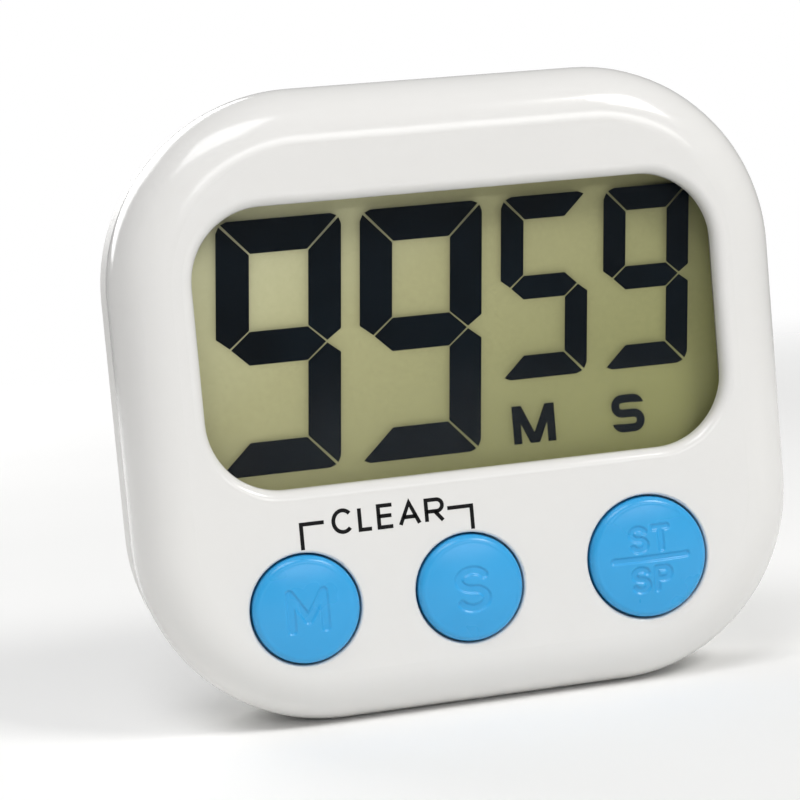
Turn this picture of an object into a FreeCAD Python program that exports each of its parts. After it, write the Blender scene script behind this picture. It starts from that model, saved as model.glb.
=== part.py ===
"""Digital kitchen timer: rounded white case, recessed display, three push buttons, rear stand.

Millimetres. +Z is up, +X is to the right of someone reading the display, and the front faces -Y.
The origin is under the middle of the timer, on the surface that it stands on.
"""
import FreeCAD, Part
import math
import os

V = FreeCAD.Vector
INTO = V(0, 1, 0)        # from the front face towards the back
ACROSS = V(1, 0, 0)
UP = V(0, 0, 1)

# Case
case_width = 84.2
case_height = 78.1
case_depth = 21.0
corner_r = 24.0
wall = 2.0
front_edge_r = 7.0       # soft front edge
rear_edge_r = 2.5
split_depth = 9.6        # parting line, behind the front face
button_proud = 1.4       # top of a button's dome in front of the face
seam_bevel = 0.25
tongue_height = 1.2
tongue_clear = 0.1

# Display
window_x, window_z = 0.26, 46.94
window_width, window_height = 65.56, 34.26
window_r = 9.0
window_lip_r = 1.3
tape_thick = 0.15
lens_width, lens_height, lens_r, lens_thick = 69.2, 38.2, 10.0, 1.0
glass_width, glass_thick = 68.8, 0.7
glass_low_z, glass_high_z = 26.2, 65.7
film_thick = 0.2
film_margin = 0.6
lens_gap = 0.2
cell_gap = 0.1           # space for the segments between the two glasses
ledge = 2.0              # front glass runs past the rear one here, for the zebra strip
rib_gap, rib_thick = 0.6, 0.8
rib_reach = {"left": -22.0, "right": 22.0, "low_right": 12.0}   # the low rib stops short of a button

# Digits, as seen from the front: left edge at the base line of the big digits, width, height
digit_slant = 0.092
digit_base_z = 31.58
big_digit = {"width": 15.47, "height": 31.02, "stroke": 4.08, "lefts": (-30.76, -12.96)}
small_digit = {"width": 11.29, "height": 22.7, "stroke": 2.92, "lefts": (4.96, 18.31)}
segment_gap = 0.3
segment_thick = 0.04
segment_corner = 0.75
unit_mark = {"height": 4.8, "stroke": 1.05, "base_z": 31.8, "m_left": 6.19, "m_width": 5.5,
             "s_left": 19.18, "s_width": 4.3}

# Retainer behind the display, staked on two posts
retainer_thick = 0.8
stake_spots = ((-14.0, 69.2), (14.0, 69.2))
stake_r, stake_head_r, stake_head_thick = 1.0, 1.5, 0.45
retainer_low_x, retainer_high_x = -34.5, 34.7
retainer_low_z, retainer_step_z, retainer_high_z = 30.9, 64.4, 71.2
retainer_ear_half = 17.5
retainer_opening = (56.0, 20.0, 3.0, 47.5)            # width, height, corner, centre z
retainer_foot_x, retainer_foot_high = 20.0, 0.85

# Buttons: centre, cap radius
buttons = {
    "minutes": (-22.6, 15.26, 6.6),
    "seconds": (-2.02, 15.35, 6.6),
    "start_stop": (21.06, 16.41, 7.57),
}
button_gap = 0.28
button_travel = 1.0
dome_rise = 0.85         # from the cap's shoulder to its middle
cap_shoulder_r = 0.6
cap_wall = 1.2
flange_reach, flange_thick = 1.1, 0.8
stem_r = 2.2

# Keypad and board
board_depth = 8.0        # front of the board, behind the front face
board_thick = 1.0
board_half_width, board_low_z, board_high_z = 31.5, 5.0, 31.8
board_low_r, board_high_r = 12.0, 2.0
pad_sheet_thick = 0.8
pad_disc_r = 6.0
plunger_r, plunger_length = 2.6, 1.6
skirt_r, skirt_rise = 3.3, 0.9
pill_r, pill_thick = 1.6, 0.4
board_screw_spots = ((-12.0, 23.6), (9.9, 23.4), (-12.0, 7.4), (10.0, 7.4))
board_boss_r = 1.9
board_pilot_r, board_hole_r = 0.7, 0.95
board_screw = {"head_r": 1.6, "head_thick": 0.9, "head_edge": 0.35, "shank_r": 0.8, "shank_length": 4.0,
               "cross_reach": 0.95, "cross_deep": 0.4}
cross_half_width = 0.22
key_ring_r, key_ring_thick = 2.8, 0.05
pad_bridge_low, pad_bridge_high = 1.8, 2.2            # below and above the minutes button's centre

# Parts on the back of the board
chip_z, chip_cover_r, chip_cover_high = 24.2, 4.6, 1.3
crystal = {"x": 14.0, "z": 27.0, "r": 1.0, "length": 6.0, "edge": 0.3, "lift": 0.05}
smd_size = (1.6, 0.5, 0.8)                            # width, thickness, height
smd_spots = ((-8.0, 28.0), (-8.0, 25.5), (-14.5, 28.0), (7.5, 29.0), (24.5, 24.0), (20.5, 22.0),
             (-20.0, 10.5))
coil = {"x": -22.0, "z": 24.0, "core_r": 1.6, "flange_r": 2.8, "winding_r": 2.4, "flange": 0.8, "high": 5.0}

# Case screws
case_screw_spots = ((-37.6, 50.0), (37.6, 50.0), (-35.0, 20.0), (35.0, 20.0))
rear_boss_r, front_boss_r = 2.9, 2.2
boss_meet = 12.5
screw_r, pilot_r = 1.0, 0.9
screw_head_r, screw_head_thick = 1.95, 1.3
screw_sink = 1.6         # screw head below the back
screw_length = 9.5
screw_head_edge, screw_tip = 0.55, 0.5
screw_cross_reach, screw_cross_deep = 1.15, 0.8

# Stand
stand_half_width = 15.0
stand_low_z, pivot_z = 5.6, 41.0
stand_thick = 3.1
stand_gap = 0.4
stand_notch_r = 5.0
stand_corner_r = 5.0
stand_panel = (24.0, 24.0, 3.0, 24.5)                 # width, height, corner, centre z
stand_panel_deep, stand_web = 0.4, 1.5
trunnion_r, trunnion_length, trunnion_clear = 1.2, 1.1, 0.06
pocket_wall = 1.4

# Battery bay
cell_r, cell_length, nub_r, nub_length = 5.2, 43.3, 1.9, 1.2
cell_x, cell_z = -22.2, 65.2       # flat end of the cell, and its axis
cell_depth = 13.8
bay_low_x, bay_high_x = -26.2, 24.0
bay_half_height = 5.5
bay_wall = 1.2
bay_floor_depth = 8.1
contact_thick, contact_width, contact_gap = 0.4, 8.0, 0.05
tag_reach, tag_height, tag_depth = 3.2, 3.2, 10.6     # solder tags, outside the bay's walls
spring_wire_r, spring_turns, spring_corners = 0.3, 3.5, 12
spring_wide_r, spring_narrow_r = 3.6, 1.8             # at the plate, and at the cell
door_thick = 1.6
door_low_z = 58.2
door_half_width, door_undercut = 26.6, 0.9
door_clear = 0.12
door_floor_thick = 1.8
grip_z, grip_half, grip_pitch, grip_groove, grip_count, grip_deep = 64.0, 8.0, 1.8, 0.9, 5, 0.5
slot_low_depth, slot_high_depth, slot_half = 10.2, 11.0, 2.2     # for the contact tags

# Magnets and sounder
magnet_spots = ((-26.0, 50.5), (26.0, 50.5))
magnet_r, magnet_thick = 5.0, 2.0
sounder_z = 50.6
sounder_r, ceramic_r, sounder_thick = 5.8, 4.0, 0.2
sounder_seat = 3.4       # back of the disc, in front of the case's back
sound_hole_r, sound_ring_r, sound_ring_count = 0.6, 3.0, 6

# Wires
wire_r = 0.5
solder_wide_r, solder_narrow_r, solder_high, solder_clear = 1.15, 0.6, 0.9, 0.12

mid_z = case_height / 2
face_y = button_proud - (case_depth + button_proud) / 2
segment_depth = (wall + tape_thick + lens_thick + lens_gap + film_thick + glass_thick
                 + (cell_gap - segment_thick) / 2)
display_back = segment_depth + (cell_gap + segment_thick) / 2 + glass_thick + film_thick
retainer_depth = display_back + 0.15
board_back = board_depth + board_thick


def at(x, depth, z):
    """A point at a depth behind the front face."""
    return V(x, face_y + depth, z)


def box(low_x, high_x, low_depth, high_depth, low_z, high_z):
    size = (high_x - low_x, high_depth - low_depth, high_z - low_z)
    return Part.makeBox(*size, at(low_x, low_depth, low_z))


def rod(radius, low_depth, high_depth, x, z):
    """A cylinder that runs from front to back."""
    return Part.makeCylinder(radius, high_depth - low_depth, at(x, low_depth, z), INTO)


def rounded_plate(width, height, radius, low_depth, high_depth, x=0.0, z=mid_z):
    """A rounded rectangle with its thickness from front to back."""
    half_w, half_h = width / 2, height / 2
    r = min(radius, half_w, half_h)
    diagonal = r * (1 - math.sqrt(0.5))

    def p(dx, dz):
        return at(x + dx, low_depth, z + dz)

    edges = []
    for sx, sz in ((1, 1), (1, -1), (-1, -1), (-1, 1)):
        side = p(sx * half_w, sz * (half_h - r))
        end = p(sx * (half_w - r), sz * half_h)
        middle = p(sx * (half_w - diagonal), sz * (half_h - diagonal))
        edges.append(Part.Arc(side, middle, end).toShape())
    for s in (1, -1):
        if half_w - r > 1e-6:
            edges.append(Part.makeLine(p(r - half_w, s * half_h), p(half_w - r, s * half_h)))
        if half_h - r > 1e-6:
            edges.append(Part.makeLine(p(s * half_w, r - half_h), p(s * half_w, half_h - r)))
    outline = Part.Wire(Part.__sortEdges__(edges))
    return Part.Face(outline).extrude(INTO * (high_depth - low_depth))


def case_plate(inset, low_depth, high_depth):
    """The case outline, taken in by inset."""
    width, height = case_width - 2 * inset, case_height - 2 * inset
    return rounded_plate(width, height, corner_r - inset, low_depth, high_depth)


def edges_at_depth(shape, depth, reach=None):
    """Edges that lie at one depth; reach keeps those inside a box about the window."""
    found = []
    for edge in shape.Edges:
        b = edge.BoundBox
        if abs(b.YMin - (face_y + depth)) > 1e-4 or abs(b.YMax - (face_y + depth)) > 1e-4:
            continue
        if reach and (abs(b.Center.x - reach[0]) > reach[2] or abs(b.Center.z - reach[1]) > reach[3]):
            continue
        found.append(edge)
    return found


def polygon(points, low_depth, high_depth):
    """A flat outline of (x, z) points, thickened from front to back."""
    corners = [at(x, low_depth, z) for x, z in points]
    corners.append(corners[0])
    return Part.Face(Part.makePolygon(corners)).extrude(INTO * (high_depth - low_depth))


def front_blank(high_depth):
    """The outside of the case from its front face back to high_depth."""
    plate = case_plate(0, 0, high_depth)
    return plate.makeFillet(front_edge_r, edges_at_depth(plate, 0))


def rear_blank(low_depth):
    """The outside of the case from low_depth to its back."""
    plate = case_plate(0, low_depth, case_depth)
    return plate.makeFillet(rear_edge_r, edges_at_depth(plate, case_depth))


def front_shell():
    outer = front_blank(split_depth)
    outer = outer.makeChamfer(seam_bevel, edges_at_depth(outer, split_depth))
    inner = case_plate(wall, wall, split_depth + 1)
    inner = inner.makeFillet(front_edge_r - wall, edges_at_depth(inner, wall))
    shell = outer.cut(inner)

    # Everything that stands up from the inside of the face
    posts = []
    for x, z in case_screw_spots:
        posts.append(rod(front_boss_r, wall / 2, boss_meet - 0.05, x, z))
        side = math.copysign(1, x)
        span = sorted((x, side * (case_width / 2 - wall / 2)))
        posts.append(box(span[0], span[1], wall + 2, boss_meet - 3, z - 1, z + 1))
    for x, z in board_screw_spots:
        posts.append(rod(board_boss_r, wall / 2, board_depth, x, z))
    stake_top = retainer_depth + retainer_thick + 0.05
    for x, z in stake_spots:
        posts.append(rod(stake_r, wall / 2, stake_top + stake_head_thick, x, z))
        posts.append(rod(stake_head_r, stake_top, stake_top + stake_head_thick, x, z))
    half_w = glass_width / 2 + rib_gap
    rib_high = wall + 3.4
    for s in (-1, 1):
        a, b = sorted((window_x + s * half_w, window_x + s * (half_w + rib_thick)))
        posts.append(box(a, b, wall / 2, rib_high, window_z - 12, window_z + 12))
    low_rib, high_rib = glass_low_z - rib_gap - rib_thick, glass_high_z + rib_gap
    for low, right in ((low_rib, rib_reach["low_right"]), (high_rib, rib_reach["right"])):
        posts.append(box(rib_reach["left"], right, wall / 2, rib_high, low, low + rib_thick))
    limit = front_blank(boss_meet)
    shell = shell.fuse([p.common(limit) for p in posts])

    # Holes for the window, the buttons and the screws
    cuts = [rounded_plate(window_width, window_height, window_r, -1, wall + 0.01, window_x, window_z)]
    for x, z, r in buttons.values():
        cuts.append(rod(r + button_gap, -1, wall + 0.6, x, z))
    for x, z in case_screw_spots:
        cuts.append(rod(pilot_r, boss_meet - 5.2, boss_meet + 1, x, z))
    for x, z in board_screw_spots:
        cuts.append(rod(board_pilot_r, wall + 1.5, board_depth + 1, x, z))
    # Rebate inside the parting line for the rear shell's tongue
    rebate_low = split_depth - tongue_height - 2 * tongue_clear
    inner_part = case_plate(wall + 0.05, rebate_low, split_depth + 1)
    cuts.append(case_plate(wall / 2 - tongue_clear, rebate_low, split_depth + 1).cut(inner_part))
    shell = shell.cut(cuts)

    lip = edges_at_depth(shell, 0, (window_x, window_z, window_width / 2 + 0.1, window_height / 2 + 0.1))
    shell = shell.makeFillet(window_lip_r, lip)
    for x, z, r in buttons.values():
        shell = shell.makeFillet(0.35, edges_at_depth(shell, 0, (x, z, 0.5, 0.5)))
    return shell


def rear_shell():
    outer = rear_blank(split_depth)
    outer = outer.makeChamfer(seam_bevel, edges_at_depth(outer, split_depth))
    inner_wall_depth = case_depth - wall
    inner = case_plate(wall, split_depth - 1, inner_wall_depth)
    inner = inner.makeFillet(1.0, edges_at_depth(inner, inner_wall_depth))
    shell = outer.cut(inner)

    tongue = case_plate(wall / 2, split_depth - tongue_height, split_depth + 0.5)
    tongue = tongue.cut(case_plate(wall, split_depth - tongue_height - 1, split_depth + 1))

    pocket = stand_pocket_sizes()
    adds = [tongue]
    adds.append(box(-pocket["half_width"] - pocket_wall, pocket["half_width"] + pocket_wall,
                    pocket["depth"] - pocket_wall, case_depth - 1,
                    pocket["low_z"] - pocket_wall, pocket["high_z"] + pocket_wall))
    adds.append(box(bay_low_x - bay_wall, bay_high_x + bay_wall, bay_floor_depth - bay_wall,
                    case_depth - wall, cell_z - bay_half_height - bay_wall,
                    cell_z + bay_half_height + bay_wall))
    floor_high = case_depth - door_thick
    adds.append(box(-door_half_width - 3, door_half_width + 3, floor_high - door_floor_thick,
                    case_depth - 0.5, door_low_z - 1.5, case_height - 1.2))
    for x, z in magnet_spots:
        adds.append(rod(magnet_r + 1.2, case_depth - magnet_thick - 1.2, case_depth - 1, x, z))
    adds.append(rod(sounder_r + 0.4, case_depth - sounder_seat, case_depth - 1, 0, sounder_z))
    for x, z in case_screw_spots:
        adds.append(rod(rear_boss_r, boss_meet + 0.05, case_depth - 1, x, z))
    limit = rear_blank(0)
    shell = shell.fuse([a.common(limit) for a in adds])

    hollow = box(-pocket["half_width"], pocket["half_width"], pocket["depth"], case_depth + 1,
                 pocket["low_z"], pocket["high_z"])
    cuts = [rounded_low_corners(hollow, stand_corner_r + stand_gap)]
    # Trunnion holes in the pocket's side walls
    hole_r = trunnion_r + trunnion_clear
    reach = pocket["half_width"] + pocket_wall + 0.5
    cuts.append(Part.makeCylinder(hole_r, 2 * reach, at(-reach, pivot_depth(), pivot_z), ACROSS))
    # Battery bay, open under the door
    cuts.append(box(bay_low_x, bay_high_x, bay_floor_depth, case_depth + 1,
                    cell_z - bay_half_height, cell_z + bay_half_height))
    # Slots through the bay's ends for the contact tags
    for low_x in (bay_high_x - 1, bay_low_x - bay_wall - 1):
        cuts.append(box(low_x, low_x + bay_wall + 2, slot_low_depth, slot_high_depth,
                        cell_z - slot_half, cell_z + slot_half))
    cuts.append(door_blank(door_clear))
    for x, z in magnet_spots:
        cuts.append(rod(magnet_r + 0.05, case_depth - magnet_thick, case_depth + 1, x, z))
    cuts.append(rod(sounder_r - 0.6, case_depth - 4, case_depth - wall, 0, sounder_z))
    cuts.append(rod(sound_hole_r, case_depth - 4, case_depth + 1, 0, sounder_z))
    for k in range(sound_ring_count):
        turn = 2 * math.pi * k / sound_ring_count
        x, z = sound_ring_r * math.cos(turn), sounder_z + sound_ring_r * math.sin(turn)
        cuts.append(rod(sound_hole_r, case_depth - 4, case_depth + 1, x, z))
    head_seat = case_depth - screw_sink - screw_head_thick
    for x, z in case_screw_spots:
        cuts.append(rod(screw_r + 0.15, boss_meet - 1, case_depth + 1, x, z))
        cuts.append(rod(screw_head_r + 0.25, head_seat, case_depth + 1, x, z))
    return shell.cut(cuts)


def rounded_low_corners(block, radius):
    """Rounds the two lower corners of a block that is flat from front to back."""
    low = block.BoundBox.ZMin
    ends = [e for e in block.Edges if e.BoundBox.ZMax < low + 1e-4 and e.BoundBox.YLength > 1]
    return block.makeFillet(radius, ends)


def stand_pocket_sizes():
    return {"half_width": stand_half_width + stand_gap, "low_z": stand_low_z - stand_gap - 0.2,
            "high_z": pivot_z + stand_thick / 2 + stand_gap, "depth": case_depth - stand_thick - 0.4}


def pivot_depth():
    return case_depth - stand_thick / 2


def door_blank(clear):
    """Dovetail plate that reaches past the top of the case, grown by clear on every mating face."""
    outer_x, inner_x = door_half_width + clear, door_half_width + door_undercut + clear
    low, high = case_depth - door_thick - clear, case_depth + 0.5
    # The undercut side keeps its slope past the back face
    slope = door_undercut / door_thick
    outer_x -= slope * (high - case_depth)
    inner_x += slope * clear
    corners = [at(-inner_x, low, door_low_z - clear), at(inner_x, low, door_low_z - clear),
               at(outer_x, high, door_low_z - clear), at(-outer_x, high, door_low_z - clear)]
    corners.append(corners[0])
    return Part.Face(Part.makePolygon(corners)).extrude(UP * (case_height + 2 - door_low_z + clear))


def battery_door():
    door = door_blank(0).common(rear_blank(split_depth))
    # Finger grip: a shallow dish with cross ribs left standing
    cuts = []
    for k in range(grip_count):
        step = k - grip_count // 2
        z = grip_z + step * grip_pitch
        half = grip_half - 0.9 * abs(step)
        cuts.append(box(-half, half, case_depth - grip_deep, case_depth + 1,
                        z - grip_groove / 2, z + grip_groove / 2))
    return door.cut(cuts)


def stand():
    """Folded: a plate with round upper end about the pivot, a fingertip notch and two trunnions."""
    half = stand_thick / 2
    plate = box(-stand_half_width, stand_half_width, case_depth - stand_thick, case_depth,
                stand_low_z, pivot_z)
    plate = rounded_low_corners(plate, stand_corner_r)
    roll_end = at(-stand_half_width, pivot_depth(), pivot_z)
    roll = Part.makeCylinder(half, 2 * stand_half_width, roll_end, ACROSS)
    reach = stand_half_width + trunnion_length
    pin = Part.makeCylinder(trunnion_r, 2 * reach, at(-reach, pivot_depth(), pivot_z), ACROSS)
    leg = plate.fuse([roll, pin]).removeSplitter()
    # Lightening recess on the inner side, a shallow panel on the outer side, and the notch
    width, height, corner, z = stand_panel
    inner = rounded_plate(width, height, corner, case_depth - stand_thick - 1, case_depth - stand_web, 0, z)
    panel = rounded_plate(width, height, corner, case_depth - stand_panel_deep, case_depth + 1, 0, z)
    notch = rod(stand_notch_r, case_depth - stand_thick - 1, case_depth + 1, 0, stand_low_z)
    return leg.cut([inner, panel, notch])


def magnets():
    discs = [rod(magnet_r, case_depth - magnet_thick, case_depth, x, z) for x, z in magnet_spots]
    return Part.makeCompound([d.makeFillet(0.25, edges_at_depth(d, case_depth)) for d in discs])


def lens_tape():
    outer = rounded_plate(lens_width - 0.6, lens_height - 0.6, lens_r - 0.3, wall, wall + tape_thick,
                          window_x, window_z)
    inner = rounded_plate(window_width + 1.4, window_height + 1.4, window_r + 0.7, wall - 1,
                          wall + tape_thick + 1, window_x, window_z)
    return outer.cut(inner)


def lens():
    low = wall + tape_thick
    return rounded_plate(lens_width, lens_height, lens_r, low, low + lens_thick, window_x, window_z)


def display_stack():
    """The display cell from front to back: film, glass, gap with the segments, glass, film."""
    depth = wall + tape_thick + lens_thick + lens_gap
    low_z, high_z = glass_low_z, glass_high_z
    low_x, high_x = window_x - glass_width / 2, window_x + glass_width / 2
    m = film_margin
    nodes = {}

    def film(low):
        return box(low_x + m, high_x - m, depth, depth + film_thick, low, high_z - m)

    nodes["lcd_front_film"] = film(low_z + ledge)
    depth += film_thick
    nodes["lcd_front_glass"] = box(low_x, high_x, depth, depth + glass_thick, low_z, high_z)
    depth += glass_thick + cell_gap
    nodes["lcd_rear_glass"] = box(low_x, high_x, depth, depth + glass_thick, low_z + ledge, high_z)
    depth += glass_thick
    nodes["lcd_rear_film"] = film(low_z + ledge + m)
    return nodes


def segment_shapes(width, height, stroke):
    """The seven segments of one upright digit, as (x, z) outlines from its lower left corner."""
    w, h, s = width, height, stroke
    mid, g, c = h / 2, segment_gap / 2, segment_corner
    tip = 0.42 * s           # where the middle bar's point is, from the outer side
    half = s / 2
    top = [(g + 0.55 * c, h - 0.45 * c), (g + c * 1.6, h), (w - g - c * 1.6, h),
           (w - g - 0.55 * c, h - 0.45 * c), (w - s - g, h - s), (s + g, h - s)]
    upper_left = [(0, h - g - c * 1.6), (0.45 * c, h - g - 0.55 * c), (s, h - s - g),
                  (s, mid + half + g), (tip, mid + g), (0, mid + g + tip * 0.75)]
    near, far = s + g * 0.4, w - s - g * 0.4
    middle = [(tip + g, mid), (near, mid + half), (far, mid + half), (w - tip - g, mid),
              (far, mid - half), (near, mid - half)]

    def mirror_x(points):
        return [(w - x, z) for x, z in points]

    def mirror_z(points):
        return [(x, h - z) for x, z in points]

    upper_right = mirror_x(upper_left)
    return {"a": top, "b": upper_right, "c": mirror_z(upper_right), "d": mirror_z(top),
            "e": mirror_z(upper_left), "f": upper_left, "g": middle}


lit_segments = {"9": "abcdfg", "5": "acdfg"}


def slanted(points, left, base):
    """Moves an upright outline to its place and leans it over the base line."""
    placed = []
    for x, z in points:
        height = base + z - digit_base_z
        placed.append((left + x + digit_slant * (height + digit_base_z - mid_z), base + z))
    return placed


def minutes_mark(low, high):
    """The letter M under the third digit."""
    u = unit_mark
    left, base, w, h, s = u["m_left"], u["base_z"], u["m_width"], u["height"], u["stroke"]
    lean = s * 1.15
    outlines = [
        [(0, 0), (s, 0), (s, h), (0, h)],
        [(w - s, 0), (w, 0), (w, h), (w - s, h)],
        [(0, h), (lean, h), (w / 2 + lean / 2, 0), (w / 2 - lean / 2, 0)],
        [(w, h), (w - lean, h), (w / 2 - lean / 2, 0), (w / 2 + lean / 2, 0)],
    ]
    solids = [polygon([(left + x, base + z) for x, z in o], low, high) for o in outlines]
    return solids[0].fuse(solids[1:]).removeSplitter()


def seconds_mark(low, high):
    """The letter S under the last digit: two bowls and three bars."""
    u = unit_mark
    s, w, h = u["stroke"], u["s_width"], u["height"]
    left, base = u["s_left"], u["base_z"]
    r_out = h / 4 + s / 4
    r_in = r_out - s
    flat = w - 2 * r_out
    low_c, high_c = base + r_out, base + h - r_out

    def bowl(cx, cz, side):
        ring = rod(r_out, low, high, cx, cz).cut(rod(r_in, low - 1, high + 1, cx, cz))
        half = box(cx, cx + r_out + 1, low - 1, high + 1, cz - r_out - 1, cz + r_out + 1)
        if side < 0:
            half = box(cx - r_out - 1, cx, low - 1, high + 1, cz - r_out - 1, cz + r_out + 1)
        return ring.common(half)

    left_c, right_c = left + r_out, left + w - r_out
    pieces = [bowl(left_c, high_c, -1), bowl(right_c, low_c, 1)]
    for z in (base, base + h / 2 - s / 2, base + h - s):
        pieces.append(box(left_c - 0.01, right_c + 0.01, low, high, z, z + s))
    # The two open ends curl back a little way
    high_end = box(right_c, right_c + 9, low - 1, high + 1, high_c + 0.35, base + h + 1)
    low_end = box(left_c - 9, left_c, low - 1, high + 1, base - 1, low_c - 0.35)
    hook_high = bowl(right_c, high_c, 1).common(high_end)
    hook_low = bowl(left_c, low_c, -1).common(low_end)
    return pieces[0].fuse(pieces[1:] + [hook_high, hook_low]).removeSplitter()


def lcd_segments():
    low, high = segment_depth, segment_depth + segment_thick
    solids = []
    small_base = digit_base_z + big_digit["height"] - small_digit["height"]
    places = [(big_digit, big_digit["lefts"][0], digit_base_z, "9"),
              (big_digit, big_digit["lefts"][1], digit_base_z, "9"),
              (small_digit, small_digit["lefts"][0], small_base, "5"),
              (small_digit, small_digit["lefts"][1], small_base, "9")]
    for size, left, base, value in places:
        shapes = segment_shapes(size["width"], size["height"], size["stroke"])
        for name in lit_segments[value]:
            solids.append(polygon(slanted(shapes[name], left, base), low, high))
    solids.append(minutes_mark(low, high))
    solids.append(seconds_mark(low, high))
    return Part.makeCompound(solids)


def lcd_retainer():
    """Frame behind the display, held by two staked posts above it and by the board below."""
    low, high = retainer_depth, retainer_depth + retainer_thick
    low_z, high_z = retainer_low_z, retainer_high_z
    frame = box(retainer_low_x, retainer_high_x, low, high, low_z, retainer_step_z)
    frame = frame.fuse(box(-retainer_ear_half, retainer_ear_half, low, high, retainer_step_z - 0.6, high_z))
    for x in (-retainer_foot_x, retainer_foot_x):
        foot = box(x - 1, x + 1, high - 0.1, board_depth - 0.03, low_z, low_z + retainer_foot_high)
        frame = frame.fuse(foot)
    width, height, corner, middle_z = retainer_opening
    opening = rounded_plate(width, height, corner, low - 1, high + 1, 0, middle_z)
    holes = [rod(stake_r + 0.1, low - 1, high + 1, x, z) for x, z in stake_spots]
    return frame.cut([opening] + holes).removeSplitter()


def zebra_strip():
    low = wall + tape_thick + lens_thick + lens_gap + film_thick + glass_thick
    low_z = glass_low_z + 0.3
    return box(-29.0, 29.0, low, board_depth, low_z, low_z + ledge - 0.6)


def board_outline():
    """(x, z) sizes of the board as a plate with large lower corners."""
    height = board_high_z - board_low_z
    low, high = board_depth, board_depth + board_thick
    middle_z = (board_high_z + board_low_z) / 2
    full = rounded_plate(2 * board_half_width, height, board_low_r, low, high, 0, middle_z)
    upper = rounded_plate(2 * board_half_width, height - board_low_r, board_high_r, low, high, 0,
                          middle_z + board_low_r / 2)
    return full.fuse(upper).removeSplitter()


def circuit_board():
    low, high = board_depth - 1, board_depth + board_thick + 1
    return board_outline().cut([rod(board_hole_r, low, high, x, z) for x, z in board_screw_spots])


def board_screws():
    """Small pan head screws that hold the board to the front shell."""
    s = board_screw
    seat = board_depth + board_thick
    top = seat + s["head_thick"]
    screws = []
    for x, z in board_screw_spots:
        head = rod(s["head_r"], seat, top, x, z)
        head = head.makeFillet(s["head_edge"], edges_at_depth(head, top))
        shank = rod(s["shank_r"], board_depth - s["shank_length"], seat, x, z)
        screws.append(head.fuse(shank).cut(cross_slot(x, z, top, s["cross_reach"], s["cross_deep"])))
    return Part.makeCompound(screws)


def cross_slot(x, z, surface_depth, reach, deep):
    low, high, w = surface_depth - deep, surface_depth + 1, cross_half_width
    level = box(x - reach, x + reach, low, high, z - w, z + w)
    return level.fuse(box(x - w, x + w, low, high, z - reach, z + reach))


def case_screws():
    top = case_depth - screw_sink
    seat = top - screw_head_thick
    tip = seat - screw_length
    screws = []
    for x, z in case_screw_spots:
        head = rod(screw_head_r, seat, top, x, z)
        head = head.makeFillet(screw_head_edge, edges_at_depth(head, top))
        shank = rod(screw_r, tip, seat, x, z)
        shank = shank.makeChamfer(screw_tip, edges_at_depth(shank, tip))
        screws.append(head.fuse(shank).cut(cross_slot(x, z, top, screw_cross_reach, screw_cross_deep)))
    return Part.makeCompound(screws)


def key_pads():
    """Printed contact rings on the board, one under each pill."""
    low = board_depth - key_ring_thick
    return Part.makeCompound([rod(key_ring_r, low, board_depth, x, z) for x, z, r in buttons.values()])


def keypad_sheet():
    """Silicone sheet on the board with a low collar about each moving plunger."""
    high = board_depth - key_ring_thick
    low = high - pad_sheet_thick
    discs, holes = [], []
    for x, z, r in buttons.values():
        discs.append(rod(pad_disc_r, low, high, x, z))
        discs.append(rod(skirt_r + 0.7, low - skirt_rise, low + 0.1, x, z))
        holes.append(rod(skirt_r, low - skirt_rise - 1, high + 1, x, z))
    left, right = buttons["minutes"], buttons["start_stop"]
    bridge = box(left[0], right[0], low, high, left[1] - pad_bridge_low, left[1] + pad_bridge_high)
    return bridge.fuse(discs).cut(holes).removeSplitter()


def plunger_top():
    """Depth of the keypad plunger's face, just under the cap's stem."""
    return board_depth - key_ring_thick - button_travel - pill_thick - plunger_length


def button_cap(x, z, radius):
    """Domed cap with a retaining flange, a hollow underside and a central stem."""
    shoulder = dome_rise - button_proud
    flange_low = wall + 0.08
    flange_high = flange_low + flange_thick
    outer = rod(radius, shoulder, flange_low + 0.1, x, z)
    outer = outer.makeFillet(cap_shoulder_r, edges_at_depth(outer, shoulder))
    sphere_r = ((radius - 0.35) ** 2 + dome_rise ** 2) / (2 * dome_rise)
    ball = Part.makeSphere(sphere_r, at(x, -button_proud + sphere_r, z))
    dome = ball.common(rod(radius, -button_proud - 1, shoulder + 0.12, x, z))
    flange = rod(radius + flange_reach, flange_low, flange_high, x, z)
    hollow = rod(radius - cap_wall, 0.3, flange_high + 1, x, z)
    stem = rod(stem_r, 0.2, plunger_top() - 0.04, x, z)
    body = outer.fuse([dome, flange]).removeSplitter()
    return body.cut(hollow).fuse(stem).removeSplitter()


def plunger(x, z):
    top = plunger_top()
    body = rod(plunger_r, top, top + plunger_length, x, z)
    return body.makeFillet(0.3, edges_at_depth(body, top))


def pill(x, z):
    top = plunger_top() + plunger_length
    return rod(pill_r, top, top + pill_thick, x, z)


def chip_cover():
    """Black resin drop over the bare chip."""
    sphere_r = (chip_cover_r ** 2 + chip_cover_high ** 2) / (2 * chip_cover_high)
    ball = Part.makeSphere(sphere_r, at(0, board_back + chip_cover_high - sphere_r, chip_z))
    return ball.common(rod(chip_cover_r + 1, board_back, board_back + 3, 0, chip_z))


def crystal_can():
    c = crystal
    start = at(c["x"], board_back + c["r"] + c["lift"], c["z"])
    can = Part.makeCylinder(c["r"], c["length"], start, ACROSS)
    return can.makeFillet(c["edge"], [e for e in can.Edges if e.BoundBox.XLength < 0.01])


def smd_parts():
    """Small capacitors and resistors on the back of the board."""
    width, thick, height = smd_size
    chips = [box(x - width / 2, x + width / 2, board_back, board_back + thick, z - height / 2, z + height / 2)
             for x, z in smd_spots]
    return Part.makeCompound(chips)


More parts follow.
